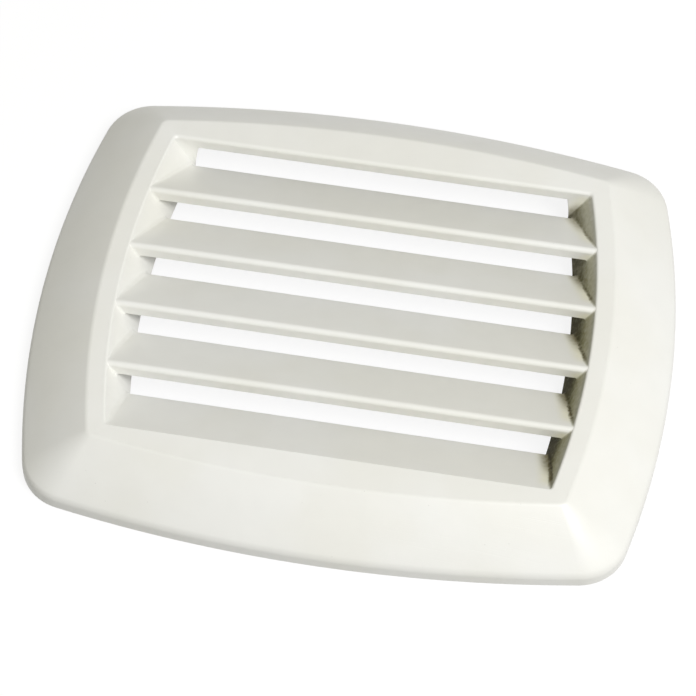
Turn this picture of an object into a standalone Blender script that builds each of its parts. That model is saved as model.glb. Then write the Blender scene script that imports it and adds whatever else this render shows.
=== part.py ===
"""Ventilation grille: a moulded white plastic louvre cover for a vent hole in a wall.

The cover is one hollow moulding. It lies on its back: +Z points out of the wall,
+Y points up the wall, and the origin is the middle of the flat rim that meets the
wall. All lengths are in metres.
"""

import math

import bmesh
import bpy
from mathutils import Vector

MM = 0.001
STRAIGHT = math.inf
NAME = "louvre_vent_cover"

# Outline at the wall: four bowed edges with round corners
WIDTH = 125.0 * MM
HEIGHT = 103.6 * MM
SIDE_EDGE_RADIUS = 172.0 * MM
END_EDGE_RADIUS = 297.0 * MM
CORNER_RADIUS = 10.0 * MM

# Section through the frame, from the wall up to the flat face
DEPTH = 12.0 * MM
RIM_HEIGHT = 3.1 * MM
SIDE_BEVEL_RUN = 12.8 * MM
END_BEVEL_RUN = 10.6 * MM
BEVEL_CROWN = 0.5 * MM
FACE_CORNER_RADIUS = 1.6 * MM
WALL = 2.2 * MM

# Flat bands between the bevel and the louvre opening. The top and bottom ones are
# measured beside the widest place of the opening, because the face is bowed there
SIDE_BAND = 3.6 * MM
TOP_BAND = 3.6 * MM
BOTTOM_BAND = 2.7 * MM

# Louvre opening: straight top and bottom, bowed ends that lean inwards
MOUTH_CORNER_RADIUS = 0.6 * MM
CHEEK_LEAN = math.radians(27.0)
CHEEK_WALL = 1.8 * MM
CHEEK_OVERHANG = 0.1 * MM
LIP_WALL = 1.8 * MM

# Slats: a round nose at the front, falling outwards so that rain runs off. The lowest
# one is a sill, which starts in the lower lip a little below the face
SLAT_COUNT = 5
SLAT_ANGLE = math.radians(30.0)
SLAT_GAP = 1.5 * MM
NOSE_RADIUS = 0.8 * MM
NOSE_HEIGHT = 2.9 * MM
NOSE_DROP = 0.15 * MM
TAIL_RADIUS = 0.8 * MM
SILL_ROOT = 0.9 * MM
SILL_DEPTH = 0.35 * MM

# Hollow fillets where the slats grow out of the end walls, with the depths over which
# they fade out towards the nose and towards the back edge
FILLET_RADIUS = 0.7 * MM
FILLET_NOSE_FADE = 2.5 * MM
FILLET_TAIL_FADE = 1.0 * MM

# Softened edges
RIM_EDGE = 1.0 * MM
FACE_EDGE = 0.4 * MM
MOUTH_TOP_EDGE = 0.8 * MM
MOUTH_EDGE = 0.3 * MM
EDGE_SEGMENTS = 3

# Facets
SIDE_STEPS = 12
END_STEPS = 12
CORNER_STEPS = 6
CROWN_STEPS = 4
NOSE_STEPS = 6
TAIL_STEPS = 6
FACE_STEPS = 4
FILLET_STEPS = 4
SHARP_ANGLE = math.radians(35.0)

# Colour
PLASTIC_COLOUR = (0.80, 0.80, 0.77, 1.0)
PLASTIC_ROUGHNESS = 0.32


def clear_scene():
    for obj in list(bpy.data.objects):
        bpy.data.objects.remove(obj)


def plastic():
    material = bpy.data.materials.new("white_plastic")
    material.use_nodes = True
    shader = material.node_tree.nodes["Principled BSDF"]
    shader.inputs["Base Color"].default_value = PLASTIC_COLOUR
    shader.inputs["Roughness"].default_value = PLASTIC_ROUGHNESS
    shader.inputs["Metallic"].default_value = 0.0
    return material


def corner_centre(half_width, half_height, side_radius, end_radius, corner_radius):
    """Centre of the circle that touches the side edge and the end edge from inside."""
    side_x = half_width - side_radius
    side_reach = side_radius - corner_radius
    if end_radius == STRAIGHT:
        y = half_height - corner_radius
        return side_x + math.sqrt(side_reach**2 - y**2), y
    end_y = half_height - end_radius
    end_reach = end_radius - corner_radius
    apart = math.hypot(side_x, end_y)
    along = (side_reach**2 - end_reach**2 + apart**2) / (2 * apart)
    across = math.sqrt(side_reach**2 - along**2)
    toward_x = -side_x / apart
    toward_y = end_y / apart
    x = side_x + along * toward_x - across * toward_y
    y = along * toward_y + across * toward_x
    return x, y


def end_edge_height(half_height, end_radius, x):
    """How far the top edge lies above the middle, at a place along it."""
    if end_radius == STRAIGHT:
        return half_height
    return half_height - end_radius + math.sqrt(end_radius**2 - x**2)


def outline(half_width, half_height, side_radius, end_radius, corner_radius):
    """Closed outline, anticlockwise from the middle of the +X edge, as (x, y, share).

    The share is 0 along a side edge, 1 along the top or bottom edge, and rises
    from one to the other round a corner. Every outline has as many points.
    """
    side_x = half_width - side_radius
    end_y = half_height - end_radius
    x, y = corner_centre(half_width, half_height, side_radius, end_radius, corner_radius)
    side_turn = math.atan2(y, x - side_x)
    end_turn = math.atan2(y - end_y, x)
    quarter = []
    for step in range(SIDE_STEPS + 1):
        turn = side_turn * step / SIDE_STEPS
        quarter.append((side_x + side_radius * math.cos(turn), side_radius * math.sin(turn), 0.0))
    for step in range(1, CORNER_STEPS):
        share = step / CORNER_STEPS
        turn = side_turn + (end_turn - side_turn) * share
        quarter.append((x + corner_radius * math.cos(turn), y + corner_radius * math.sin(turn), share))
    start = x + corner_radius * math.cos(end_turn)
    for step in range(END_STEPS + 1):
        along = start * (1 - step / END_STEPS)
        quarter.append((along, end_edge_height(half_height, end_radius, along), 1.0))
    upper = quarter + [(-px, py, share) for px, py, share in reversed(quarter[:-1])]
    lower = [(px, -py, share) for px, py, share in reversed(upper[1:-1])]
    return upper + lower


def inset(half_width, half_height, side_radius, end_radius, side, end):
    """The four sizes of an outline that lies parallel, further in at the sides and ends."""
    return half_width - side, half_height - end, side_radius - side, end_radius - end


def ring(points, side_z, end_z, shift_y=0.0):
    """An outline lifted to height, which may differ between the side and end edges."""
    return [(x, y + shift_y, side_z + (end_z - side_z) * share) for x, y, share in points]


def crowned(low, high, rise):
    """Rings between two rings, bulged outwards by the rise in the middle."""
    rings = []
    for step in range(1, CROWN_STEPS):
        t = step / CROWN_STEPS
        lift = rise * 4 * t * (1 - t)
        rings.append(
            [
                (a[0] + (b[0] - a[0]) * t, a[1] + (b[1] - a[1]) * t, a[2] + (b[2] - a[2]) * t + lift)
                for a, b in zip(low, high)
            ]
        )
    return rings


# Sizes that follow from the ones above
BASE = (WIDTH / 2, HEIGHT / 2, SIDE_EDGE_RADIUS, END_EDGE_RADIUS)
FACE = inset(*BASE, SIDE_BEVEL_RUN, END_BEVEL_RUN)
MOUTH_HALF_WIDTH = FACE[0] - SIDE_BAND
FACE_END_HEIGHT = end_edge_height(FACE[1], FACE[3], MOUTH_HALF_WIDTH)
MOUTH_TOP = FACE_END_HEIGHT - TOP_BAND
MOUTH_BOTTOM = BOTTOM_BAND - FACE_END_HEIGHT
MOUTH_MIDDLE = (MOUTH_TOP + MOUTH_BOTTOM) / 2
MOUTH_HALF_HEIGHT = (MOUTH_TOP - MOUTH_BOTTOM) / 2
MOUTH_SIDE_RADIUS = FACE[2] - SIDE_BAND
MOUTH = (MOUTH_HALF_WIDTH, MOUTH_HALF_HEIGHT, MOUTH_SIDE_RADIUS, STRAIGHT)

NOSE_TOP = DEPTH - NOSE_DROP
FALL = math.tan(SLAT_ANGLE)
FACE_START_Y = NOSE_RADIUS * (1 + math.sin(SLAT_ANGLE))
FACE_START_Z = NOSE_TOP - NOSE_RADIUS * (1 - math.cos(SLAT_ANGLE))
SILL_LEAD = FACE_START_Y - (DEPTH - FACE_START_Z) / FALL
SLAT_PITCH = (MOUTH_TOP - MOUTH_BOTTOM + SILL_LEAD) / SLAT_COUNT
SLAT_RUN = SLAT_PITCH - SLAT_GAP
TAIL_Y = SLAT_RUN - TAIL_RADIUS
TAIL_Z = FACE_START_Z - (TAIL_Y - FACE_START_Y) * FALL - TAIL_RADIUS / math.cos(SLAT_ANGLE)
SLAT_BACK = TAIL_Z - TAIL_RADIUS
CHEEK_BACK = SLAT_BACK - SILL_DEPTH - CHEEK_OVERHANG
CHEEK_SPAN = CHEEK_WALL / math.cos(CHEEK_LEAN)


def mouth_outline(height, grow_side, grow_end):
    """The louvre opening at a height, its leaning ends followed down, and grown outwards."""
    lean = (DEPTH - height) * math.tan(CHEEK_LEAN)
    sizes = inset(*MOUTH, lean - grow_side, -grow_end)
    return outline(*sizes, MOUTH_CORNER_RADIUS + grow_end)


def cheek_x(y, z):
    """How far the leaning end wall stands from the middle, at a place in the opening."""
    lean = (DEPTH - z) * math.tan(CHEEK_LEAN)
    radius = MOUTH_SIDE_RADIUS - lean
    return MOUTH_HALF_WIDTH - lean - radius + math.sqrt(radius**2 - (y - MOUTH_MIDDLE) ** 2)


def mouth_edge_widths(points):
    """Widths of the opening's softened edge: wide along the top, and narrow elsewhere."""
    widths = []
    for x, y, share in points:
        extra = (MOUTH_TOP_EDGE - MOUTH_EDGE) * share if y > 0 else 0.0
        widths.append(MOUTH_EDGE + extra)
    return widths


def frame_rings():
    """Rings of the frame's section, from the back rim over the face and back inside.

    Each ring comes with the width of its softened edge at every point.
    """
    slope = math.atan2(DEPTH - RIM_HEIGHT, SIDE_BEVEL_RUN)
    inner_rim_z = RIM_HEIGHT + WALL * (math.tan(slope) - 1 / math.cos(slope))
    inner_run = WALL * math.tan(slope / 2)
    roof = DEPTH - WALL
    lip_back = DEPTH - NOSE_HEIGHT

    base = outline(*BASE, CORNER_RADIUS)
    inner_base = outline(*inset(*BASE, WALL, WALL), CORNER_RADIUS - WALL)
    face = outline(*FACE, FACE_CORNER_RADIUS)
    inner_face = outline(*inset(*FACE, inner_run, inner_run), FACE_CORNER_RADIUS)

    rim = ring(base, RIM_HEIGHT, RIM_HEIGHT)
    face_ring = ring(face, DEPTH, DEPTH)
    inner_rim = ring(inner_base, inner_rim_z, inner_rim_z)
    inner_face_ring = ring(inner_face, roof, roof)

    mouth = mouth_outline(DEPTH, 0.0, 0.0)
    throat = mouth_outline(CHEEK_BACK, 0.0, 0.0)
    throat_outside = mouth_outline(CHEEK_BACK, CHEEK_SPAN, LIP_WALL)
    throat_root = mouth_outline(roof, CHEEK_SPAN, LIP_WALL)

    def even(width):
        return [width] * len(base)

    rings = [(ring(base, 0.0, 0.0), even(0.0)), (rim, even(RIM_EDGE))]
    rings += [(points, even(0.0)) for points in crowned(rim, face_ring, BEVEL_CROWN)]
    rings += [
        (face_ring, even(FACE_EDGE)),
        (ring(mouth, DEPTH, DEPTH, MOUTH_MIDDLE), mouth_edge_widths(mouth)),
        (ring(throat, CHEEK_BACK, lip_back, MOUTH_MIDDLE), even(0.0)),
        (ring(throat_outside, CHEEK_BACK, lip_back, MOUTH_MIDDLE), even(0.0)),
        (ring(throat_root, roof, roof, MOUTH_MIDDLE), even(0.0)),
        (inner_face_ring, even(0.0)),
    ]
    rings += [(points, even(0.0)) for points in reversed(crowned(inner_rim, inner_face_ring, BEVEL_CROWN))]
    rings += [(inner_rim, even(0.0)), (ring(inner_base, 0.0, 0.0), even(0.0))]
    return rings


def skin(mesh, low, high):
    """The faces between one row of vertices and the next."""
    for i in range(len(low)):
        j = (i + 1) % len(low)
        mesh.faces.new((low[i], low[j], high[j], high[i]))


def loft(mesh, rings, closed):
    """Joins rings that run anticlockwise seen from the last one. Returns their vertices.

    A closed loft runs from the last ring back to the first, and an open one is capped.
    """
    rows = [[mesh.verts.new(point) for point in points] for points in rings]
    for low, high in zip(rows, rows[1:]):
        skin(mesh, low, high)
    if closed:
        skin(mesh, rows[-1], rows[0])
    else:
        caps = [mesh.faces.new(reversed(rows[0])), mesh.faces.new(rows[-1])]
        bmesh.ops.triangulate(mesh, faces=caps)
    return rows


def finished(mesh, name):
    """A linked object from the bmesh, shaded smooth between its sharp edges."""
    data = bpy.data.meshes.new(name)
    mesh.to_mesh(data)
    mesh.free()
    data.shade_smooth()
    data.set_sharp_from_angle(angle=SHARP_ANGLE)
    obj = bpy.data.objects.new(name, data)
    bpy.context.scene.collection.objects.link(obj)
    return obj


def helper(obj):
    """Marks a shape that only cuts or joins."""
    obj.hide_render = True
    obj.display_type = "WIRE"
    return obj


def combine(obj, name, operation, other):
    modifier = obj.modifiers.new(name, "BOOLEAN")
    modifier.operation = operation
    modifier.solver = "EXACT"
    modifier.object = other


def frame():
    """The hollow frame: rim, bevel, flat face, leaning cheeks and the two lips."""
    mesh = bmesh.new()
    rings = frame_rings()
    rows = loft(mesh, [points for points, widths in rings], closed=True)
    widest = max(max(widths) for points, widths in rings)
    weight = mesh.edges.layers.float.new("bevel_weight_edge")
    for row, (points, widths) in zip(rows, rings):
        for i in range(len(row)):
            width = (widths[i - 1] + widths[i]) / 2
            mesh.edges.get((row[i - 1], row[i]))[weight] = width / widest
    obj = finished(mesh, NAME)
    bevel = obj.modifiers.new("soft_edges", "BEVEL")
    bevel.limit_method = "WEIGHT"
    bevel.width = widest
    bevel.segments = EDGE_SEGMENTS
    bevel.use_clamp_overlap = False
    return obj


def tail_points(nose_y, nose_z):
    """The round back edge, from the slat's upper face to its underside."""
    first = math.pi / 2 - SLAT_ANGLE
    reach = math.hypot(TAIL_Y - nose_y, TAIL_Z - nose_z)
    heading = math.atan2(TAIL_Z - nose_z, TAIL_Y - nose_y)
    last = heading - math.asin(TAIL_RADIUS / reach) - math.pi / 2
    points = []
    for step in range(TAIL_STEPS + 1):
        turn = first + (last - first) * step / TAIL_STEPS
        points.append((TAIL_Y + TAIL_RADIUS * math.cos(turn), TAIL_Z + TAIL_RADIUS * math.sin(turn)))
    return points


def between(start, end):
    """Inner points of a straight stretch of a section."""
    points = []
    for step in range(1, FACE_STEPS):
        share = step / FACE_STEPS
        points.append((start[0] + (end[0] - start[0]) * share, start[1] + (end[1] - start[1]) * share))
    return points


def slat_profile():
    """Section of a free slat as (y, z), y counted from the underside of its nose."""
    heel = (0.0, NOSE_TOP - NOSE_HEIGHT)
    points = [heel]
    for step in range(NOSE_STEPS + 1):
        turn = math.pi - (math.pi / 2 + SLAT_ANGLE) * step / NOSE_STEPS
        y = NOSE_RADIUS * (1 + math.cos(turn))
        points.append((y, NOSE_TOP - NOSE_RADIUS * (1 - math.sin(turn))))
    tail = tail_points(*heel)
    return points + between(points[-1], tail[0]) + tail + between(tail[-1], heel)


def sill_profile():
    """Section of the lowest slat, whose front is rooted in the opening's lower lip."""
    root = SILL_LEAD - SILL_ROOT
    top = DEPTH - SILL_DEPTH
    heel = (root, NOSE_TOP - NOSE_HEIGHT)
    front = (root, top)
    edge = (SILL_LEAD, top)
    tail = [(y, z - SILL_DEPTH) for y, z in tail_points(root, heel[1] + SILL_DEPTH)]
    return [heel, front, edge] + between(edge, tail[0]) + tail + between(tail[-1], heel)


def outward(profile, index):
    """Direction away from the slat at a point of its section."""
    before = Vector(profile[index]) - Vector(profile[index - 1])
    after = Vector(profile[(index + 1) % len(profile)]) - Vector(profile[index])
    along = (before.normalized() + after.normalized()).normalized()
    return -along.y, along.x


def fillet_share(z):
    """How much of the fillet a slat has at a height: none at its nose and its back."""
    return max(0.0, min(1.0, (NOSE_TOP - z) / FILLET_NOSE_FADE, (z - SLAT_BACK) / FILLET_TAIL_FADE))


def slat_section(profile, nose, side, distance, rise):
    """The section at a distance from the end wall, swollen by the rise of the fillet there."""
    points = []
    for index, (y, z) in enumerate(profile):
        out_y, out_z = outward(profile, index)
        swell = rise * fillet_share(z)
        y += nose + swell * out_y
        z += swell * out_z
        points.append((side * (cheek_x(y, z) - distance), y, z))
    return points


def slats():
    """All the slats, each swelling into the end walls in a hollow fillet."""
    mesh = bmesh.new()
    stations = [(-CHEEK_SPAN / 2, FILLET_RADIUS)]
    for step in range(FILLET_STEPS + 1):
        turn = math.pi / 2 * (1 - step / FILLET_STEPS)
        stations.append((FILLET_RADIUS * (1 - math.sin(turn)), FILLET_RADIUS * (1 - math.cos(turn))))
    for number in range(1, SLAT_COUNT + 1):
        profile = sill_profile() if number == SLAT_COUNT else slat_profile()
        nose = MOUTH_TOP - number * SLAT_PITCH
        right = [slat_section(profile, nose, 1, distance, rise) for distance, rise in stations]
        left = [slat_section(profile, nose, -1, distance, rise) for distance, rise in reversed(stations)]
        loft(mesh, right + left, closed=False)
    return helper(finished(mesh, "slats"))


def main():
    clear_scene()
    cover = frame()
    combine(cover, "louvres", "UNION", slats())
    cover.data.materials.append(plastic())


main()
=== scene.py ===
"""Looks of the ventilation grille: camera, studio, floor and the moulded plastic cover."""

import math

import bmesh
import bpy
from mathutils import Matrix, Vector


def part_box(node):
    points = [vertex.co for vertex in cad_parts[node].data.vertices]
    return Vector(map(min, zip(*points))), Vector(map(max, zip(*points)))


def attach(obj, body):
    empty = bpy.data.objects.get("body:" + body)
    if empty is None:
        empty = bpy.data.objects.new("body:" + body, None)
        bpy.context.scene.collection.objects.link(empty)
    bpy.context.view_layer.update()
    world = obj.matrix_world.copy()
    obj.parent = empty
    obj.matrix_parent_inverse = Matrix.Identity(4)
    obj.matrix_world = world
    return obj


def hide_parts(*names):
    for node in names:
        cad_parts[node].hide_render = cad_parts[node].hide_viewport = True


MM = 0.001
STRAIGHT = math.inf
NODE = "louvre_vent_cover"
PIECE = "louvre_cover"

# Camera, found from the outline, the opening and the slats in the photograph
VIEW_ROLL = math.radians(-10.774)
VIEW_PITCH = math.radians(-32.812)
VIEW_YAW = math.radians(-4.733)
VIEW_SIDEWAYS = 1.337 * MM
VIEW_UPWARDS = 2.03 * MM
VIEW_DISTANCE = 548.468 * MM
FOCAL_PIXELS = 2784.457
FRAME_PIXELS = 696
SENSOR_MM = 36.0
NEAREST_SEEN = 0.01
FURTHEST_SEEN = 20.0

# Light
PURE_WHITE = (1.0, 1.0, 1.0, 1.0)
WORLD_COLOUR = (1.0, 0.985, 0.86, 1.0)
WORLD_STRENGTH = 0.29
KEY_AZIMUTH = math.radians(-37.0)
KEY_ELEVATION = math.radians(55.0)
KEY_DISTANCE = 0.9
KEY_SIZE = 0.5
KEY_COLOUR = (0.98, 0.98, 1.0)
KEY_WATTS = 6.7

# Floor
FLOOR_HALF = 3.0
FLOOR_DROP = 0.05 * MM
FLOOR_COLOUR = (0.45, 0.45, 0.45, 1.0)
FLOOR_GLOW = 0.872
FLOOR_SHADE = (0.16, 0.16, 0.16, 1.0)

# Moulded plastic: two near whites in large soft blotches, with a finer mottling
SOFT_DETAIL = 2.0
WHITE = (0.880, 0.880, 0.848, 1.0)
WARM_WHITE = (0.856, 0.852, 0.802, 1.0)
BLOTCH = 26.0 * MM
BLOTCH_LEVELS = (0.35, 0.65)
MOTTLE = 5.0 * MM
MOTTLE_DETAIL = 5.0
MOTTLE_SHARE = 0.045
ROUGHNESS = 0.36
ROUGHNESS_SPREAD = 0.10
ROUGHNESS_BLOTCH = 3.0 * MM
ROUGHNESS_DETAIL = 4.0
POLISH = 0.05
POLISH_DEPTH = 0.5 * MM
GRAIN = 0.3 * MM
GRAIN_DETAIL = 3.0
GRAIN_HEIGHT = 0.0025 * MM
RIPPLE = 2.6 * MM
RIPPLE_HEIGHT = 0.02 * MM

# Fine scratches: hairlines in two directions, in patches
SCRATCH_LENGTH = 14.0 * MM
SCRATCH_WIDTH = 0.12 * MM
SCRATCH_TURNS = (math.radians(24.0), math.radians(-52.0))
SCRATCH_LEVELS = (0.62, 0.72)
SCRATCH_PATCH = 18.0 * MM
SCRATCH_PATCH_LEVELS = (0.45, 0.58)
SCRATCH_DEPTH = 0.006 * MM
SCRATCH_ROUGHNESS = 0.12

# Dust specks bedded in the surface
SPECK_CELL = 3.2 * MM
SPECK_RADIUS = 0.13 * MM
SPECK_SHADE = (0.72, 0.72, 0.72, 1.0)

# Shade painted at the louvre's ends, nearly all of it at the right, on the end walls turned away from the
# lamp
# Painted shade on the end walls, darker further in
WALL_PAINTED_SHADE = (0.21, 0.20, 0.07, 1.0)
WALL_PAINTED_SHADE_EDGE = (0.5 * MM, 0.1 * MM)
WALL_PAINTED_SHADE_START = (0.05 * MM, 0.6 * MM)
WALL_PAINTED_SHADE_DEPTHS = (1.0 * MM, 6.0 * MM)
WALL_PAINTED_SHADE_LEVELS = (0.6, 1.0)
# Dark line of painted shade in the crease above each slat
CREASE_PAINTED_SHADE = (0.18, 0.15, 0.07, 1.0)
CREASE_PAINTED_SHADE_EDGE = (0.75 * MM, 0.3 * MM)
CREASE_PAINTED_SHADE_DEPTHS = (0.3 * MM, 2.0 * MM)
CREASE_PAINTED_SHADE_LEVEL = 0.95
CREASE_RAGGED = 0.6 * MM
CREASE_BLOTCH = 0.8 * MM
CREASE_DETAIL = 3.0
# Painted shadow at the deep end of each crease, spreading onto the slat
DEEP_PAINTED_SHADOW_EDGE = (2.6 * MM, 0.2 * MM)
DEEP_PAINTED_SHADOW_DEPTHS = (2.4 * MM, 5.8 * MM)
DEEP_PAINTED_SHADOW_LEVEL = 0.85
# A faint yellow tint on the slats beside the end walls
SLAT_TINT = (0.98, 0.96, 0.82, 1.0)
SLAT_TINT_EDGE = (3.4 * MM, 0.3 * MM)
PAINTED_SHADE_AT_LEFT = 0.04
PAINTED_SHADE_AT_TOP = 0.68
PAINTED_SHADE_BLOTCH = 0.9 * MM
PAINTED_SHADE_DETAIL = 4.0
PAINTED_SHADE_RAGGED = 0.8
PAINTED_SHADE_DULLNESS = 0.4

# Sizes of the moulding, as in the part; its width, height and depth come from the part's box
SIDE_EDGE_RADIUS = 172.0 * MM
END_EDGE_RADIUS = 297.0 * MM
CORNER_RADIUS = 10.0 * MM
RIM_HEIGHT = 3.1 * MM
SIDE_BEVEL_RUN = 12.8 * MM
END_BEVEL_RUN = 10.6 * MM
BEVEL_CROWN = 0.5 * MM
FACE_CORNER_RADIUS = 1.6 * MM
WALL = 2.2 * MM
SIDE_BAND = 3.6 * MM
TOP_BAND = 3.6 * MM
BOTTOM_BAND = 2.7 * MM
MOUTH_CORNER_RADIUS = 0.6 * MM
CHEEK_LEAN = math.radians(27.0)
CHEEK_WALL = 1.8 * MM
CHEEK_OVERHANG = 0.1 * MM
LIP_WALL = 1.8 * MM
SLAT_COUNT = 5
SLAT_ANGLE = math.radians(30.0)
SLAT_GAP = 1.5 * MM
NOSE_RADIUS = 0.8 * MM
NOSE_HEIGHT = 2.9 * MM
NOSE_DROP = 0.15 * MM
TAIL_RADIUS = 0.8 * MM
SILL_ROOT = 0.9 * MM
SILL_DEPTH = 0.35 * MM
FILLET_RADIUS = 0.7 * MM
FILLET_NOSE_FADE = 2.5 * MM
FILLET_TAIL_FADE = 1.0 * MM

# Softened edges of the moulding
BASE_EDGE = 0.15 * MM
RIM_EDGE = 1.0 * MM
FACE_EDGE = 0.4 * MM
MOUTH_TOP_EDGE = 0.8 * MM
MOUTH_EDGE = 0.3 * MM
CHEEK_EDGE = 0.3 * MM
ROOF_EDGE = 0.8 * MM
EDGE_SEGMENTS = 5

# Facets
SIDE_STEPS = 24
END_STEPS = 24
CORNER_STEPS = 12
CROWN_STEPS = 8
NOSE_STEPS = 12
TAIL_STEPS = 12
FACE_STEPS = 10
FILLET_STEPS = 8
SHARP_ANGLE = math.radians(32.0)


def camera():
    """The camera at the photograph's place.

    The turns are those of the cover before a camera that looks straight down at it.
    """
    turn = (
        Matrix.Rotation(VIEW_ROLL, 3, "Z")
        @ Matrix.Rotation(VIEW_PITCH, 3, "X")
        @ Matrix.Rotation(VIEW_YAW, 3, "Y")
    )
    back = turn.transposed()
    place = back @ Vector((-VIEW_SIDEWAYS, -VIEW_UPWARDS, VIEW_DISTANCE))
    data = bpy.data.cameras.new("camera")
    data.sensor_width = SENSOR_MM
    data.lens = FOCAL_PIXELS / FRAME_PIXELS * SENSOR_MM
    data.clip_start = NEAREST_SEEN
    data.clip_end = FURTHEST_SEEN
    obj = bpy.data.objects.new("camera", data)
    obj.matrix_world = Matrix.Translation(place) @ back.to_4x4()
    bpy.context.scene.collection.objects.link(obj)
    bpy.context.scene.camera = obj


class Tree:
    """The node tree of a material or the world, with short ways to add nodes to it."""

    def __init__(self, owner):
        owner.use_nodes = True
        self.tree = owner.node_tree

    def node(self, kind, **links):
        """A node whose inputs are numbers or colours, or outputs of other nodes."""
        node = self.tree.nodes.new(kind)
        for name, value in links.items():
            self.feed(node.inputs[name.replace("_", " ")], value)
        return node

    def feed(self, socket, value):
        if isinstance(value, bpy.types.NodeSocket):
            self.tree.links.new(value, socket)
        else:
            socket.default_value = value

    def maths(self, operation, *values):
        node = self.tree.nodes.new("ShaderNodeMath")
        node.operation = operation
        for socket, value in zip(node.inputs, values):
            self.feed(socket, value)
        return node.outputs[0]

    def product(self, first, *others):
        for other in others:
            first = self.maths("MULTIPLY", first, other)
        return first

    def rise(self, value, low, high):
        """Goes smoothly from 0 at the low value to 1 at the high one."""
        node = self.node("ShaderNodeMapRange", Value=value, From_Min=low, From_Max=high)
        node.interpolation_type = "SMOOTHSTEP"
        return node.outputs[0]

    def noise(self, place, size, detail=SOFT_DETAIL):
        """Soft noise about 0.5, with blotches of about one size and as many finer layers as the detail."""
        return self.node("ShaderNodeTexNoise", Vector=place, Scale=1 / size, Detail=detail).outputs[0]

    def swing(self, noise, share):
        """The noise as a number about 0, up to half the share either way."""
        return self.maths("MULTIPLY", self.maths("SUBTRACT", noise, 0.5), share)

    def mix(self, blend, share, first, second):
        node = self.tree.nodes.new("ShaderNodeMix")
        node.data_type = "RGBA"
        node.blend_type = blend
        self.feed(node.inputs[0], share)
        self.feed(node.inputs[6], first)
        self.feed(node.inputs[7], second)
        return node.outputs[2]

    def blend(self, share, first, second):
        """The first shader, giving way to the second by the share."""
        node = self.tree.nodes.new("ShaderNodeMixShader")
        for socket, value in zip(node.inputs, (share, first, second)):
            self.feed(socket, value)
        return node.outputs[0]


def shown_as_white(tree):
    """1 for the rays that show the backdrop: straight to the camera, in gloss and through glass."""
    path = tree.node("ShaderNodeLightPath").outputs
    mirrored = tree.maths("MAXIMUM", path["Is Glossy Ray"], path["Is Transmission Ray"])
    return tree.maths("MAXIMUM", path["Is Camera Ray"], mirrored)


def lights():
    """An even world, seen as white, and one large soft lamp from the lower right."""
    world = bpy.data.worlds.new("studio")
    bpy.context.scene.world = world
    tree = Tree(world)
    light = tree.node("ShaderNodeBackground", Color=WORLD_COLOUR, Strength=WORLD_STRENGTH).outputs[0]
    white = tree.node("ShaderNodeBackground", Color=PURE_WHITE).outputs[0]
    mixed = tree.blend(shown_as_white(tree), light, white)
    tree.feed(world.node_tree.nodes["World Output"].inputs["Surface"], mixed)

    data = bpy.data.lights.new("key", "AREA")
    data.shape = "DISK"
    data.size = KEY_SIZE
    data.energy = KEY_WATTS
    data.color = KEY_COLOUR
    obj = bpy.data.objects.new("key", data)
    level = math.cos(KEY_ELEVATION)
    toward = Vector((level * math.cos(KEY_AZIMUTH), level * math.sin(KEY_AZIMUTH), math.sin(KEY_ELEVATION)))
    obj.location = toward * KEY_DISTANCE
    obj.rotation_mode = "QUATERNION"
    obj.rotation_quaternion = toward.to_track_quat("Z", "Y")
    bpy.context.scene.collection.objects.link(obj)


def floor():
    """A pale floor that shows white, keeps a faint shadow, and is clear from below."""
    data = bpy.data.meshes.new("floor")
    sides = [(-1, -1), (1, -1), (1, 1), (-1, 1)]
    corners = [(x * FLOOR_HALF, y * FLOOR_HALF, -FLOOR_DROP) for x, y in sides]
    data.from_pydata(corners, [], [(0, 1, 2, 3)])
    obj = bpy.data.objects.new("floor", data)
    bpy.context.scene.collection.objects.link(obj)

    material = bpy.data.materials.new("floor")
    tree = Tree(material)
    material.node_tree.nodes.clear()
    matt = tree.node("ShaderNodeBsdfDiffuse", Color=FLOOR_COLOUR).outputs[0]
    glow = tree.node("ShaderNodeEmission", Strength=FLOOR_GLOW).outputs[0]
    faint = tree.node("ShaderNodeBsdfDiffuse", Color=FLOOR_SHADE).outputs[0]
    white = material.node_tree.nodes.new("ShaderNodeAddShader")
    for socket, shader in zip(white.inputs, (glow, faint)):
        tree.feed(socket, shader)
    top = tree.blend(shown_as_white(tree), matt, white.outputs[0])
    from_below = tree.node("ShaderNodeNewGeometry").outputs["Backfacing"]
    clear = tree.node("ShaderNodeBsdfTransparent").outputs[0]
    tree.node("ShaderNodeOutputMaterial", Surface=tree.blend(from_below, top, clear))
    data.materials.append(material)


def corner_centre(half_width, half_height, side_radius, end_radius, corner_radius):
    """Centre of the circle that touches the side edge and the end edge from inside."""
    side_x = half_width - side_radius
    side_reach = side_radius - corner_radius
    if end_radius == STRAIGHT:
        y = half_height - corner_radius
        return side_x + math.sqrt(side_reach**2 - y**2), y
    end_y = half_height - end_radius
    end_reach = end_radius - corner_radius
    apart = math.hypot(side_x, end_y)
    along = (side_reach**2 - end_reach**2 + apart**2) / (2 * apart)
    across = math.sqrt(side_reach**2 - along**2)
    toward_x = -side_x / apart
    toward_y = end_y / apart
    x = side_x + along * toward_x - across * toward_y
    y = along * toward_y + across * toward_x
    return x, y


def end_edge_height(half_height, end_radius, x):
    """How far the top edge lies above the middle, at a place along it."""
    if end_radius == STRAIGHT:
        return half_height
    return half_height - end_radius + math.sqrt(end_radius**2 - x**2)


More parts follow.
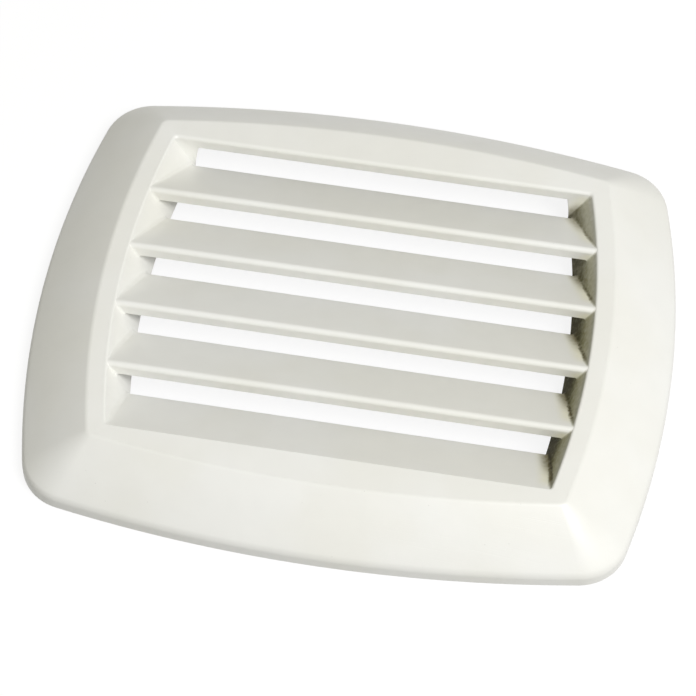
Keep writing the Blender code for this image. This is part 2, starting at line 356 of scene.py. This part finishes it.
def outline(half_width, half_height, side_radius, end_radius, corner_radius):
    """Closed outline, anticlockwise from the middle of the +X edge, as (x, y, share).

    The share is 0 along a side edge, 1 along the top or bottom edge, and rises
    from one to the other round a corner. Every outline has as many points.
    """
    side_x = half_width - side_radius
    end_y = half_height - end_radius
    x, y = corner_centre(half_width, half_height, side_radius, end_radius, corner_radius)
    side_turn = math.atan2(y, x - side_x)
    end_turn = math.atan2(y - end_y, x)
    quarter = []
    for step in range(SIDE_STEPS + 1):
        turn = side_turn * step / SIDE_STEPS
        quarter.append((side_x + side_radius * math.cos(turn), side_radius * math.sin(turn), 0.0))
    for step in range(1, CORNER_STEPS):
        share = step / CORNER_STEPS
        turn = side_turn + (end_turn - side_turn) * share
        quarter.append((x + corner_radius * math.cos(turn), y + corner_radius * math.sin(turn), share))
    start = x + corner_radius * math.cos(end_turn)
    for step in range(END_STEPS + 1):
        along = start * (1 - step / END_STEPS)
        quarter.append((along, end_edge_height(half_height, end_radius, along), 1.0))
    upper = quarter + [(-px, py, share) for px, py, share in reversed(quarter[:-1])]
    lower = [(px, -py, share) for px, py, share in reversed(upper[1:-1])]
    return upper + lower


def inset(half_width, half_height, side_radius, end_radius, side, end):
    """The four sizes of an outline that lies parallel, further in at the sides and ends."""
    return half_width - side, half_height - end, side_radius - side, end_radius - end


def ring(points, side_z, end_z, shift_y=0.0):
    """An outline lifted to height, which may differ between the side and end edges."""
    return [(x, y + shift_y, side_z + (end_z - side_z) * share) for x, y, share in points]


def crowned(low, high, rise):
    """Rings between two rings, bulged outwards by the rise in the middle."""
    rings = []
    for step in range(1, CROWN_STEPS):
        t = step / CROWN_STEPS
        lift = rise * 4 * t * (1 - t)
        rings.append(
            [
                (a[0] + (b[0] - a[0]) * t, a[1] + (b[1] - a[1]) * t, a[2] + (b[2] - a[2]) * t + lift)
                for a, b in zip(low, high)
            ]
        )
    return rings


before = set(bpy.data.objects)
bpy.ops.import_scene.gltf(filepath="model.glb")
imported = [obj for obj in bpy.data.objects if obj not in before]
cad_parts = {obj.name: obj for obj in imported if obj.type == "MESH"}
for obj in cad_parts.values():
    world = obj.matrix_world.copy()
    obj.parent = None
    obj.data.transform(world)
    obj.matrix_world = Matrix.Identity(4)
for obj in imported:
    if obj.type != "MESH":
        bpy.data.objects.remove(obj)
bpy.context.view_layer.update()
lowest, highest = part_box(NODE)
WIDTH = highest.x - lowest.x
HEIGHT = highest.y - lowest.y
DEPTH = highest.z

# Sizes that follow from the ones above
BASE = (WIDTH / 2, HEIGHT / 2, SIDE_EDGE_RADIUS, END_EDGE_RADIUS)
FACE = inset(*BASE, SIDE_BEVEL_RUN, END_BEVEL_RUN)
MOUTH_HALF_WIDTH = FACE[0] - SIDE_BAND
FACE_END_HEIGHT = end_edge_height(FACE[1], FACE[3], MOUTH_HALF_WIDTH)
MOUTH_TOP = FACE_END_HEIGHT - TOP_BAND
MOUTH_BOTTOM = BOTTOM_BAND - FACE_END_HEIGHT
MOUTH_MIDDLE = (MOUTH_TOP + MOUTH_BOTTOM) / 2
MOUTH_HALF_HEIGHT = (MOUTH_TOP - MOUTH_BOTTOM) / 2
MOUTH_SIDE_RADIUS = FACE[2] - SIDE_BAND
MOUTH = (MOUTH_HALF_WIDTH, MOUTH_HALF_HEIGHT, MOUTH_SIDE_RADIUS, STRAIGHT)

NOSE_TOP = DEPTH - NOSE_DROP
FALL = math.tan(SLAT_ANGLE)
FACE_START_Y = NOSE_RADIUS * (1 + math.sin(SLAT_ANGLE))
FACE_START_Z = NOSE_TOP - NOSE_RADIUS * (1 - math.cos(SLAT_ANGLE))
SILL_LEAD = FACE_START_Y - (DEPTH - FACE_START_Z) / FALL
SLAT_PITCH = (MOUTH_TOP - MOUTH_BOTTOM + SILL_LEAD) / SLAT_COUNT
SLAT_RUN = SLAT_PITCH - SLAT_GAP
TAIL_Y = SLAT_RUN - TAIL_RADIUS
TAIL_Z = FACE_START_Z - (TAIL_Y - FACE_START_Y) * FALL - TAIL_RADIUS / math.cos(SLAT_ANGLE)
SLAT_BACK = TAIL_Z - TAIL_RADIUS
CHEEK_BACK = SLAT_BACK - SILL_DEPTH - CHEEK_OVERHANG
CHEEK_SPAN = CHEEK_WALL / math.cos(CHEEK_LEAN)


def mouth_outline(height, grow_side, grow_end):
    """The louvre opening at a height, its leaning ends followed down, and grown outwards."""
    lean = (DEPTH - height) * math.tan(CHEEK_LEAN)
    sizes = inset(*MOUTH, lean - grow_side, -grow_end)
    return outline(*sizes, MOUTH_CORNER_RADIUS + grow_end)


def cheek_x(y, z):
    """How far the leaning end wall stands from the middle, at a place in the opening."""
    lean = (DEPTH - z) * math.tan(CHEEK_LEAN)
    radius = MOUTH_SIDE_RADIUS - lean
    return MOUTH_HALF_WIDTH - lean - radius + math.sqrt(radius**2 - (y - MOUTH_MIDDLE) ** 2)


def mouth_edge_widths(points):
    """Widths of the opening's softened edge: wide along the top, and narrow elsewhere."""
    widths = []
    for x, y, share in points:
        widths.append(MOUTH_EDGE + (MOUTH_TOP_EDGE - MOUTH_EDGE) * share if y > 0 else MOUTH_EDGE)
    return widths


def frame_rings():
    """Rings of the frame's section, each with the width of its softened edge at every point."""
    slope = math.atan2(DEPTH - RIM_HEIGHT, SIDE_BEVEL_RUN)
    inner_rim_z = RIM_HEIGHT + WALL * (math.tan(slope) - 1 / math.cos(slope))
    inner_run = WALL * math.tan(slope / 2)
    roof = DEPTH - WALL
    lip_back = DEPTH - NOSE_HEIGHT

    base = outline(*BASE, CORNER_RADIUS)
    inner_base = outline(*inset(*BASE, WALL, WALL), CORNER_RADIUS - WALL)
    face = outline(*FACE, FACE_CORNER_RADIUS)
    inner_face = outline(*inset(*FACE, inner_run, inner_run), FACE_CORNER_RADIUS)
    throat = mouth_outline(CHEEK_BACK, 0.0, 0.0)
    throat_outside = mouth_outline(CHEEK_BACK, CHEEK_SPAN, LIP_WALL)
    throat_root = mouth_outline(roof, CHEEK_SPAN, LIP_WALL)

    rim = ring(base, RIM_HEIGHT, RIM_HEIGHT)
    face_ring = ring(face, DEPTH, DEPTH)
    inner_rim = ring(inner_base, inner_rim_z, inner_rim_z)
    inner_face_ring = ring(inner_face, roof, roof)

    mouth = mouth_outline(DEPTH, 0.0, 0.0)

    def even(width):
        return [width] * len(base)

    rings = [(ring(base, 0.0, 0.0), even(BASE_EDGE)), (rim, even(RIM_EDGE))]
    rings += [(points, even(0.0)) for points in crowned(rim, face_ring, BEVEL_CROWN)]
    rings += [
        (face_ring, even(FACE_EDGE)),
        (ring(mouth, DEPTH, DEPTH, MOUTH_MIDDLE), mouth_edge_widths(mouth)),
        (ring(throat, CHEEK_BACK, lip_back, MOUTH_MIDDLE), even(CHEEK_EDGE)),
        (ring(throat_outside, CHEEK_BACK, lip_back, MOUTH_MIDDLE), even(CHEEK_EDGE)),
        (ring(throat_root, roof, roof, MOUTH_MIDDLE), even(CHEEK_EDGE)),
        (inner_face_ring, even(ROOF_EDGE)),
    ]
    rings += [(points, even(0.0)) for points in reversed(crowned(inner_rim, inner_face_ring, BEVEL_CROWN))]
    rings += [(inner_rim, even(ROOF_EDGE)), (ring(inner_base, 0.0, 0.0), even(BASE_EDGE))]
    return rings


def skin(mesh, low, high):
    """The faces between one row of vertices and the next."""
    for i in range(len(low)):
        j = (i + 1) % len(low)
        mesh.faces.new((low[i], low[j], high[j], high[i]))


def loft(mesh, rings, closed):
    """Joins rings that run anticlockwise seen from the last one. Returns their vertices."""
    rows = [[mesh.verts.new(point) for point in points] for points in rings]
    for low, high in zip(rows, rows[1:]):
        skin(mesh, low, high)
    if closed:
        skin(mesh, rows[-1], rows[0])
    else:
        caps = [mesh.faces.new(reversed(rows[0])), mesh.faces.new(rows[-1])]
        bmesh.ops.triangulate(mesh, faces=caps)
    return rows


def linked(mesh, name):
    data = bpy.data.meshes.new(name)
    mesh.to_mesh(data)
    mesh.free()
    obj = bpy.data.objects.new(name, data)
    bpy.context.scene.collection.objects.link(obj)
    return obj


def combine(obj, operation, other):
    modifier = obj.modifiers.new(operation.lower(), "BOOLEAN")
    modifier.operation = operation
    modifier.solver = "EXACT"
    modifier.object = other


def soften(obj, width, segments):
    """Rounds the edges that carry a bevel weight."""
    modifier = obj.modifiers.new("soft_edges", "BEVEL")
    modifier.limit_method = "WEIGHT"
    modifier.width = width
    modifier.segments = segments
    modifier.use_clamp_overlap = False


def bare_frame():
    """The hollow frame: rim, bevel, flat face, leaning cheeks and the two lips."""
    mesh = bmesh.new()
    rings = frame_rings()
    rows = loft(mesh, [points for points, widths in rings], closed=True)
    widest = max(max(widths) for points, widths in rings)
    weight = mesh.edges.layers.float.new("bevel_weight_edge")
    for row, (points, widths) in zip(rows, rings):
        for i in range(len(row)):
            width = (widths[i - 1] + widths[i]) / 2
            mesh.edges.get((row[i - 1], row[i]))[weight] = width / widest
    obj = linked(mesh, PIECE)
    soften(obj, widest, EDGE_SEGMENTS)
    return obj


def tail_points(nose_y, nose_z):
    """The round back edge, from the slat's upper face to its underside."""
    first = math.pi / 2 - SLAT_ANGLE
    reach = math.hypot(TAIL_Y - nose_y, TAIL_Z - nose_z)
    heading = math.atan2(TAIL_Z - nose_z, TAIL_Y - nose_y)
    last = heading - math.asin(TAIL_RADIUS / reach) - math.pi / 2
    points = []
    for step in range(TAIL_STEPS + 1):
        turn = first + (last - first) * step / TAIL_STEPS
        points.append((TAIL_Y + TAIL_RADIUS * math.cos(turn), TAIL_Z + TAIL_RADIUS * math.sin(turn)))
    return points


def between(start, end):
    """Inner points of a straight stretch of a section."""
    points = []
    for step in range(1, FACE_STEPS):
        share = step / FACE_STEPS
        points.append((start[0] + (end[0] - start[0]) * share, start[1] + (end[1] - start[1]) * share))
    return points


def slat_profile():
    """Section of a free slat as (y, z), y counted from the underside of its nose."""
    heel = (0.0, NOSE_TOP - NOSE_HEIGHT)
    points = [heel]
    for step in range(NOSE_STEPS + 1):
        turn = math.pi - (math.pi / 2 + SLAT_ANGLE) * step / NOSE_STEPS
        y = NOSE_RADIUS * (1 + math.cos(turn))
        points.append((y, NOSE_TOP - NOSE_RADIUS * (1 - math.sin(turn))))
    tail = tail_points(*heel)
    return points + between(points[-1], tail[0]) + tail + between(tail[-1], heel)


def sill_profile():
    """Section of the lowest slat, whose front is rooted in the opening's lower lip."""
    root = SILL_LEAD - SILL_ROOT
    top = DEPTH - SILL_DEPTH
    heel = (root, NOSE_TOP - NOSE_HEIGHT)
    front = (root, top)
    edge = (SILL_LEAD, top)
    tail = [(y, z - SILL_DEPTH) for y, z in tail_points(root, heel[1] + SILL_DEPTH)]
    return [heel, front, edge] + between(edge, tail[0]) + tail + between(tail[-1], heel)


def outward(profile, index):
    """Direction away from the slat at a point of its section."""
    y, z = profile[index]
    before = Vector((y - profile[index - 1][0], z - profile[index - 1][1])).normalized()
    after_y, after_z = profile[(index + 1) % len(profile)]
    after = Vector((after_y - y, after_z - z)).normalized()
    along = (before + after).normalized()
    return -along.y, along.x


def fillet_share(z):
    """How much of the fillet a slat has at a height: none at its nose and its back."""
    return max(0.0, min(1.0, (NOSE_TOP - z) / FILLET_NOSE_FADE, (z - SLAT_BACK) / FILLET_TAIL_FADE))


def slat_section(profile, nose, side, distance, rise):
    """The section at a distance from the end wall, swollen by the rise of the fillet there."""
    points = []
    for index, (y, z) in enumerate(profile):
        out_y, out_z = outward(profile, index)
        swell = rise * fillet_share(z)
        y += nose + swell * out_y
        z += swell * out_z
        points.append((side * (cheek_x(y, z) - distance), y, z))
    return points


def bare_slats():
    """All the slats, each swelling into the end walls in a hollow fillet."""
    mesh = bmesh.new()
    stations = [(-CHEEK_SPAN / 2, FILLET_RADIUS)]
    for step in range(FILLET_STEPS + 1):
        turn = math.pi / 2 * (1 - step / FILLET_STEPS)
        stations.append((FILLET_RADIUS * (1 - math.sin(turn)), FILLET_RADIUS * (1 - math.cos(turn))))
    for number in range(1, SLAT_COUNT + 1):
        profile = sill_profile() if number == SLAT_COUNT else slat_profile()
        nose = MOUTH_TOP - number * SLAT_PITCH
        right = [slat_section(profile, nose, 1, distance, rise) for distance, rise in stations]
        left = [slat_section(profile, nose, -1, distance, rise) for distance, rise in reversed(stations)]
        loft(mesh, right + left, closed=False)
    return linked(mesh, "slats")


def settle(obj):
    """Gives the object the mesh that its modifiers make."""
    graph = bpy.context.evaluated_depsgraph_get()
    data = bpy.data.meshes.new_from_object(obj.evaluated_get(graph))
    obj.modifiers.clear()
    obj.data = data


def cover(material):
    """The whole moulding: the frame with its soft edges, and the slats grown into it."""
    obj = bare_frame()
    slats = bare_slats()
    obj.data.materials.append(material)
    slats.data.materials.append(material)
    combine(obj, "UNION", slats)
    settle(obj)
    bpy.data.objects.remove(slats)
    return obj


def louvre_ends(tree, place):
    """Distances from the end wall, from the crease above the nearest slat and from the face.

    The last result is the share of painted shade at a place: none outside the
    opening, a trace at its left end, and more to the right and downwards, in blotches.
    """
    x, y, z = tree.node("ShaderNodeSeparateXYZ", Vector=place).outputs
    depth = tree.maths("SUBTRACT", DEPTH, z)
    up = tree.maths("SUBTRACT", y, MOUTH_MIDDLE)
    bow = tree.product(up, up, 1 / (2 * MOUTH_SIDE_RADIUS))
    lean = tree.maths("MULTIPLY", depth, math.tan(CHEEK_LEAN))
    wall = tree.maths("SUBTRACT", tree.maths("SUBTRACT", MOUTH_HALF_WIDTH, lean), bow)
    gap = tree.maths("SUBTRACT", wall, tree.maths("ABSOLUTE", x))

    sill_shift = SILL_DEPTH * math.cos(SLAT_ANGLE)
    nose_shift = NOSE_RADIUS * (1 + math.sin(SLAT_ANGLE) - math.cos(SLAT_ANGLE))
    along = tree.maths("SUBTRACT", y, MOUTH_BOTTOM - SILL_LEAD)
    along = tree.maths("MULTIPLY", along, math.sin(SLAT_ANGLE))
    across = tree.maths("SUBTRACT", z, NOSE_TOP)
    across = tree.maths("MULTIPLY", across, math.cos(SLAT_ANGLE))
    above = tree.maths("ADD", tree.maths("ADD", along, across), sill_shift - nose_shift)
    above = tree.maths("FLOORED_MODULO", above, SLAT_PITCH * math.sin(SLAT_ANGLE))
    above = tree.maths("SUBTRACT", above, sill_shift / 2)
    off_crease = tree.maths("SQRT", tree.maths("ADD", tree.product(gap, gap), tree.product(above, above)))

    reach = MOUTH_HALF_HEIGHT + LIP_WALL / 2
    between_lips = tree.rise(tree.maths("ABSOLUTE", up), reach, MOUTH_HALF_HEIGHT)
    right = tree.rise(x, -MOUTH_HALF_WIDTH / 2, MOUTH_HALF_WIDTH / 2)
    right = tree.maths("MULTIPLY_ADD", right, 1 - PAINTED_SHADE_AT_LEFT, PAINTED_SHADE_AT_LEFT)
    lower = tree.rise(up, MOUTH_HALF_HEIGHT, 0.0)
    lower = tree.maths("MULTIPLY_ADD", lower, 1 - PAINTED_SHADE_AT_TOP, PAINTED_SHADE_AT_TOP)
    ragged = tree.swing(tree.noise(place, PAINTED_SHADE_BLOTCH, PAINTED_SHADE_DETAIL), PAINTED_SHADE_RAGGED)
    ragged = tree.maths("ADD", 1.0, ragged)
    inside = tree.rise(gap, -CHEEK_WALL / 2, 0.0)
    # The share of painted shade grows to the right, where the end walls face away from the lamp, and
    # downwards
    held = tree.product(between_lips, inside, right, lower, ragged)
    return gap, off_crease, depth, held


def painted_corner_shade(tree, place, colour):
    """The colour with shade painted into it, and how much shade is painted there, which dulls the gloss.

    The painted shade is a darkening of the end walls that grows inwards, a dark line in the crease
    above each slat with a painted shadow at its deep end, and a faint yellow tint on the slat beside it.
    """
    gap, off_crease, depth, held = louvre_ends(tree, place)
    low, high = WALL_PAINTED_SHADE_LEVELS
    # Painted shade on the end walls, growing darker inwards
    on_wall = tree.rise(gap, *WALL_PAINTED_SHADE_EDGE)
    wall_shade = tree.maths("MULTIPLY_ADD", tree.rise(depth, *WALL_PAINTED_SHADE_DEPTHS), high - low, low)
    wall_shade = tree.product(wall_shade, on_wall, tree.rise(depth, *WALL_PAINTED_SHADE_START))
    # Dark line of painted shade in the crease above each slat
    deep = tree.rise(depth, *CREASE_PAINTED_SHADE_DEPTHS)
    ragged = tree.swing(tree.noise(place, CREASE_BLOTCH, CREASE_DETAIL), CREASE_RAGGED)
    off_crease = tree.maths("ADD", off_crease, ragged)
    line = tree.product(tree.rise(off_crease, *CREASE_PAINTED_SHADE_EDGE), deep, CREASE_PAINTED_SHADE_LEVEL)
    # Painted shadow at the deep end of each crease
    deepest = tree.rise(depth, *DEEP_PAINTED_SHADOW_DEPTHS)
    deep_shadow = tree.product(tree.rise(gap, *DEEP_PAINTED_SHADOW_EDGE), deepest, DEEP_PAINTED_SHADOW_LEVEL)
    line = tree.maths("MAXIMUM", line, deep_shadow)
    # A faint yellow tint on the slats beside the end walls
    slat_tint = tree.product(tree.rise(gap, *SLAT_TINT_EDGE), deep)
    wall_shade = tree.maths("MINIMUM", 1.0, tree.product(wall_shade, held))
    line = tree.maths("MINIMUM", 1.0, tree.product(line, held))
    slat_tint = tree.maths("MINIMUM", 1.0, tree.product(slat_tint, held))
    colour = tree.mix("MULTIPLY", wall_shade, colour, WALL_PAINTED_SHADE)
    colour = tree.mix("MULTIPLY", line, colour, CREASE_PAINTED_SHADE)
    colour = tree.mix("MULTIPLY", slat_tint, colour, SLAT_TINT)
    return colour, tree.maths("MAXIMUM", wall_shade, line)


def scratches(tree, place):
    """Hairlines in two directions, only inside soft patches."""
    lines = []
    for turn in SCRATCH_TURNS:
        turned = tree.node("ShaderNodeMapping", Vector=place, Rotation=(0.0, 0.0, turn))
        turned.inputs["Scale"].default_value = (1 / SCRATCH_LENGTH, 1 / SCRATCH_WIDTH, 1 / SCRATCH_LENGTH)
        lines.append(tree.rise(tree.noise(turned.outputs[0], 1.0), *SCRATCH_LEVELS))
    patch = tree.rise(tree.noise(place, SCRATCH_PATCH), *SCRATCH_PATCH_LEVELS)
    return tree.product(tree.maths("MAXIMUM", *lines), patch)


def plastic():
    """Satin white moulded plastic, a little worn, with shade painted into the louvre's corners."""
    material = bpy.data.materials.new("white_plastic_look")
    tree = Tree(material)
    shader = material.node_tree.nodes["Principled BSDF"]
    place = tree.node("ShaderNodeTexCoord").outputs["Object"]
    z = tree.node("ShaderNodeSeparateXYZ", Vector=place).outputs["Z"]
    hairlines = scratches(tree, place)

    blotch = tree.rise(tree.noise(place, BLOTCH), *BLOTCH_LEVELS)
    colour = tree.mix("MIX", blotch, WHITE, WARM_WHITE)
    mottle = tree.swing(tree.noise(place, MOTTLE, MOTTLE_DETAIL), MOTTLE_SHARE)
    mottle = tree.maths("ADD", 1.0, mottle)
    grey = tree.node("ShaderNodeCombineXYZ", X=mottle, Y=mottle, Z=mottle).outputs[0]
    colour = tree.mix("MULTIPLY", 1.0, colour, grey)
    cells = tree.node("ShaderNodeTexVoronoi", Vector=place, Scale=1 / SPECK_CELL)
    speck = tree.rise(cells.outputs["Distance"], SPECK_RADIUS / SPECK_CELL, 0.0)
    colour = tree.mix("MULTIPLY", speck, colour, SPECK_SHADE)
    # Shade is painted into the louvre's corners through the base colour
    colour, painted_shade = painted_corner_shade(tree, place, colour)
    tree.feed(shader.inputs["Base Color"], colour)

    worn = tree.rise(z, DEPTH - POLISH_DEPTH, DEPTH)
    rough = tree.noise(place, ROUGHNESS_BLOTCH, ROUGHNESS_DETAIL)
    rough = tree.maths("ADD", ROUGHNESS, tree.swing(rough, ROUGHNESS_SPREAD))
    rough = tree.maths("MULTIPLY_ADD", worn, -POLISH, rough)
    rough = tree.maths("MULTIPLY_ADD", hairlines, SCRATCH_ROUGHNESS, rough)
    # Roughness also rises where the corner shade is painted
    rough = tree.maths("MULTIPLY_ADD", painted_shade, PAINTED_SHADE_DULLNESS, rough)
    tree.feed(shader.inputs["Roughness"], rough)

    height = tree.maths("MULTIPLY", tree.noise(place, GRAIN, GRAIN_DETAIL), GRAIN_HEIGHT)
    height = tree.maths("MULTIPLY_ADD", tree.noise(place, RIPPLE), RIPPLE_HEIGHT, height)
    height = tree.maths("MULTIPLY_ADD", hairlines, -SCRATCH_DEPTH, height)
    bump = tree.node("ShaderNodeBump", Height=height, Distance=1.0)
    tree.feed(shader.inputs["Normal"], bump.outputs[0])
    return material


bpy.context.scene.view_settings.view_transform = "Standard"
camera()
lights()
floor()
piece = cover(plastic())
piece.data.shade_smooth()
piece.data.set_sharp_from_angle(angle=SHARP_ANGLE)
modifier = piece.modifiers.new("even_shading", "WEIGHTED_NORMAL")
modifier.keep_sharp = True
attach(piece, "root")
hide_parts(NODE)
